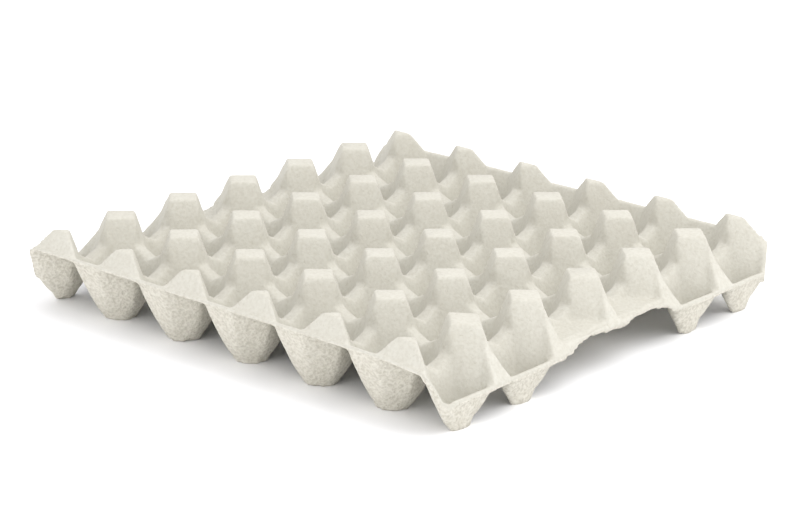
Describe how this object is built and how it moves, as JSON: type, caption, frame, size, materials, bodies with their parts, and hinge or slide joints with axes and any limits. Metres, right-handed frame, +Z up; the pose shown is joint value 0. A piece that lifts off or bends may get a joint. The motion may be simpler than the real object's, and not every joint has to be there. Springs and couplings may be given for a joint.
{
  "type": "pulp egg tray",
  "caption": "Square moulded-pulp tray with rows of egg cups between hollow posts, straight rims and two hand grips.",
  "frame": {"origin": "middle of the tray, on the surface that its cups' feet stand on", "axes": "+X along the rows of six cups, +Y along the rows of five cups, +Z up"},
  "size_m": [0.295, 0.295, 0.0465],
  "materials": {
    "pulp": "rough, fibrous moulded paper pulp"
  },
  "bodies": {
    "root": {"egg_tray": "pulp"}
  },
  "joints": []
}
